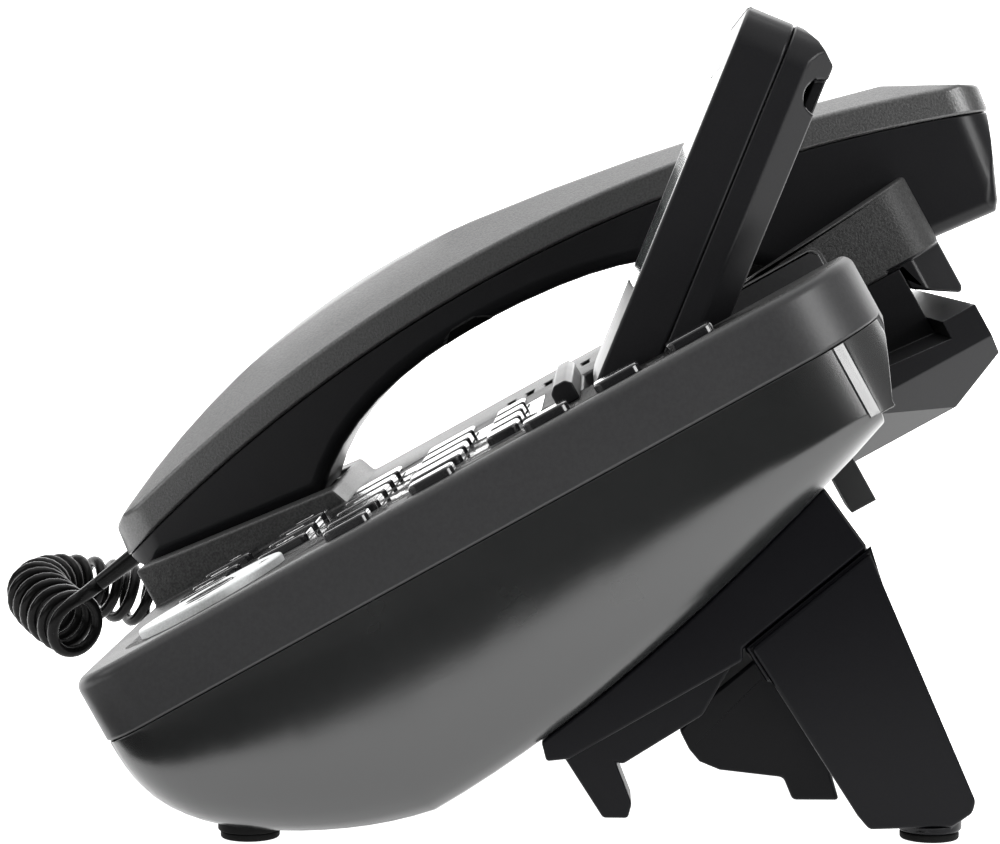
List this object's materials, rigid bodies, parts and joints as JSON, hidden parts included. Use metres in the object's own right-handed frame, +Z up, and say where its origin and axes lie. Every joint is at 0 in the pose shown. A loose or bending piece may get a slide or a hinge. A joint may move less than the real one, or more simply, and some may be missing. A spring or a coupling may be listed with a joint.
{
  "type": "corded desk phone",
  "caption": "Corded desk phone with a curly-cord handset on a cradle, sloping key deck, tilting display and a slide-on stand.",
  "frame": {"origin": "on the floor, under the middle of the phone's box without its curly cord", "axes": "+X to the phone's right, +Y to its rear, +Z up"},
  "size_m": [0.2221, 0.2366, 0.1618],
  "materials": {
    "casing": "satin",
    "belly": "satin",
    "panel_gloss": "gloss",
    "smooth_black": "smooth satin",
    "board": "printed board",
    "mat": "matte",
    "speaker": "matte",
    "steel": "plain",
    "rubber": "matte",
    "cord": "gloss",
    "grain": "spark-eroded grain",
    "handset_black": "smooth satin",
    "clear": "clear",
    "lcd": "grey display",
    "plunger": "smooth",
    "silver": "silver paint",
    "key_black": "gloss"
  },
  "bodies": {
    "base": {"upper_housing": "casing", "lower_housing": "belly", "key_panel": "panel_gloss", "hinge_cover": "smooth_black", "main_board": "board", "key_mat": "mat", "base_speaker": "speaker", "line_jacks": "smooth_black", "base_jack": "smooth_black", "case_screws": "steel", "front_feet": "rubber", "stand_bracket": "smooth_black", "hook_switch": "smooth_black", "base_plug": "cord", "curly_cord": "cord"},
    "handset": {"handset_top": "grain", "handset_bottom": "handset_black", "earpiece": "speaker", "microphone": "steel", "handset_weight": "steel", "handset_screws": "steel", "handset_socket": "smooth_black", "handset_plug": "cord"},
    "hook": {"hook_plunger": "plunger"},
    "display": {"display_bezel": "smooth_black", "display_back": "smooth_black", "display_window": "clear", "lcd_module": "lcd", "hinge_pins": "steel", "display_screws": "steel"},
    "stand": {"stand": "smooth_black", "stand_feet": "rubber"},
    "nav_ring": {"nav_ring": "silver"},
    "nav_centre": {"nav_centre": "key_black"},
    "key_1": {"key_1": "key_black"},
    "key_2": {"key_2": "key_black"},
    "key_3": {"key_3": "key_black"},
    "key_4": {"key_4": "key_black"},
    "key_5": {"key_5": "key_black"},
    "key_6": {"key_6": "key_black"},
    "key_7": {"key_7": "key_black"},
    "key_8": {"key_8": "key_black"},
    "key_9": {"key_9": "key_black"},
    "key_star": {"key_star": "key_black"},
    "key_0": {"key_0": "key_black"},
    "key_hash": {"key_hash": "key_black"},
    "function_key_1": {"function_key_1": "key_black"},
    "function_key_2": {"function_key_2": "key_black"},
    "soft_key_1": {"soft_key_1": "key_black"},
    "soft_key_2": {"soft_key_2": "key_black"},
    "soft_key_3": {"soft_key_3": "key_black"},
    "soft_key_4": {"soft_key_4": "key_black"},
    "side_key_1": {"side_key_1": "key_black"},
    "side_key_2": {"side_key_2": "key_black"},
    "side_key_3": {"side_key_3": "key_black"},
    "side_key_4": {"side_key_4": "key_black"},
    "side_key_5": {"side_key_5": "key_black"}
  },
  "joints": [
    {"name": "handset_lift", "type": "slide", "parent": "base", "child": "handset", "axis": [0, -0.4848, 0.8746], "range_m": [0, 0.06], "deforming": ["curly_cord"]},
    {"name": "hook_rise", "type": "slide", "parent": "base", "child": "hook", "axis": [0, -0.4848, 0.8746], "range_m": [0, 0.0036]},
    {"name": "display_tilt", "type": "hinge", "parent": "base", "child": "display", "pos_m": [0.0365, 0.01934, 0.08647], "axis": [1, 0, 0], "range_deg": [-38, 8]},
    {"name": "stand_slide", "type": "slide", "parent": "base", "child": "stand", "axis": [0, 0.7682, 0.6402], "range_m": [0, 0.025]},
    {"name": "nav_rock", "type": "hinge", "parent": "base", "child": "nav_ring", "pos_m": [0.072, -0.06426, 0.04504], "axis": [1, 0, 0], "range_deg": [-2, 2], "stiffness_Nm_per_rad": 0.1},
    {"name": "nav_press", "type": "slide", "parent": "base", "child": "nav_centre", "axis": [0, 0.4848, -0.8746], "range_m": [0, 0.0012], "stiffness_N_per_m": 150, "springref_m": -0.001},
    {"name": "key_1_press", "type": "slide", "parent": "base", "child": "key_1", "axis": [0, 0.4848, -0.8746], "range_m": [0, 0.0012], "stiffness_N_per_m": 150, "springref_m": -0.001},
    {"name": "key_2_press", "type": "slide", "parent": "base", "child": "key_2", "axis": [0, 0.4848, -0.8746], "range_m": [0, 0.0012], "stiffness_N_per_m": 150, "springref_m": -0.001},
    {"name": "key_3_press", "type": "slide", "parent": "base", "child": "key_3", "axis": [0, 0.4848, -0.8746], "range_m": [0, 0.0012], "stiffness_N_per_m": 150, "springref_m": -0.001},
    {"name": "key_4_press", "type": "slide", "parent": "base", "child": "key_4", "axis": [0, 0.4848, -0.8746], "range_m": [0, 0.0012], "stiffness_N_per_m": 150, "springref_m": -0.001},
    {"name": "key_5_press", "type": "slide", "parent": "base", "child": "key_5", "axis": [0, 0.4848, -0.8746], "range_m": [0, 0.0012], "stiffness_N_per_m": 150, "springref_m": -0.001},
    {"name": "key_6_press", "type": "slide", "parent": "base", "child": "key_6", "axis": [0, 0.4848, -0.8746], "range_m": [0, 0.0012], "stiffness_N_per_m": 150, "springref_m": -0.001},
    {"name": "key_7_press", "type": "slide", "parent": "base", "child": "key_7", "axis": [0, 0.4848, -0.8746], "range_m": [0, 0.0012], "stiffness_N_per_m": 150, "springref_m": -0.001},
    {"name": "key_8_press", "type": "slide", "parent": "base", "child": "key_8", "axis": [0, 0.4848, -0.8746], "range_m": [0, 0.0012], "stiffness_N_per_m": 150, "springref_m": -0.001},
    {"name": "key_9_press", "type": "slide", "parent": "base", "child": "key_9", "axis": [0, 0.4848, -0.8746], "range_m": [0, 0.0012], "stiffness_N_per_m": 150, "springref_m": -0.001},
    {"name": "key_star_press", "type": "slide", "parent": "base", "child": "key_star", "axis": [0, 0.4848, -0.8746], "range_m": [0, 0.0012], "stiffness_N_per_m": 150, "springref_m": -0.001},
    {"name": "key_0_press", "type": "slide", "parent": "base", "child": "key_0", "axis": [0, 0.4848, -0.8746], "range_m": [0, 0.0012], "stiffness_N_per_m": 150, "springref_m": -0.001},
    {"name": "key_hash_press", "type": "slide", "parent": "base", "child": "key_hash", "axis": [0, 0.4848, -0.8746], "range_m": [0, 0.0012], "stiffness_N_per_m": 150, "springref_m": -0.001},
    {"name": "function_key_1_press", "type": "slide", "parent": "base", "child": "function_key_1", "axis": [0, 0.4848, -0.8746], "range_m": [0, 0.0012], "stiffness_N_per_m": 150, "springref_m": -0.001},
    {"name": "function_key_2_press", "type": "slide", "parent": "base", "child": "function_key_2", "axis": [0, 0.4848, -0.8746], "range_m": [0, 0.0012], "stiffness_N_per_m": 150, "springref_m": -0.001},
    {"name": "soft_key_1_press", "type": "slide", "parent": "base", "child": "soft_key_1", "axis": [0, 0.4848, -0.8746], "range_m": [0, 0.0012], "stiffness_N_per_m": 150, "springref_m": -0.001},
    {"name": "soft_key_2_press", "type": "slide", "parent": "base", "child": "soft_key_2", "axis": [0, 0.4848, -0.8746], "range_m": [0, 0.0012], "stiffness_N_per_m": 150, "springref_m": -0.001},
    {"name": "soft_key_3_press", "type": "slide", "parent": "base", "child": "soft_key_3", "axis": [0, 0.4848, -0.8746], "range_m": [0, 0.0012], "stiffness_N_per_m": 150, "springref_m": -0.001},
    {"name": "soft_key_4_press", "type": "slide", "parent": "base", "child": "soft_key_4", "axis": [0, 0.4848, -0.8746], "range_m": [0, 0.0012], "stiffness_N_per_m": 150, "springref_m": -0.001},
    {"name": "side_key_1_press", "type": "slide", "parent": "base", "child": "side_key_1", "axis": [0, 0.4848, -0.8746], "range_m": [0, 0.0012], "stiffness_N_per_m": 150, "springref_m": -0.001},
    {"name": "side_key_2_press", "type": "slide", "parent": "base", "child": "side_key_2", "axis": [0, 0.4848, -0.8746], "range_m": [0, 0.0012], "stiffness_N_per_m": 150, "springref_m": -0.001},
    {"name": "side_key_3_press", "type": "slide", "parent": "base", "child": "side_key_3", "axis": [0, 0.4848, -0.8746], "range_m": [0, 0.0012], "stiffness_N_per_m": 150, "springref_m": -0.001},
    {"name": "side_key_4_press", "type": "slide", "parent": "base", "child": "side_key_4", "axis": [0, 0.4848, -0.8746], "range_m": [0, 0.0012], "stiffness_N_per_m": 150, "springref_m": -0.001},
    {"name": "side_key_5_press", "type": "slide", "parent": "base", "child": "side_key_5", "axis": [0, 0.4848, -0.8746], "range_m": [0, 0.0012], "stiffness_N_per_m": 150, "springref_m": -0.001}
  ],
  "couplings": [
    {"joint": "hook_rise", "follows": "handset_lift", "ratio": 0.06}
  ]
}
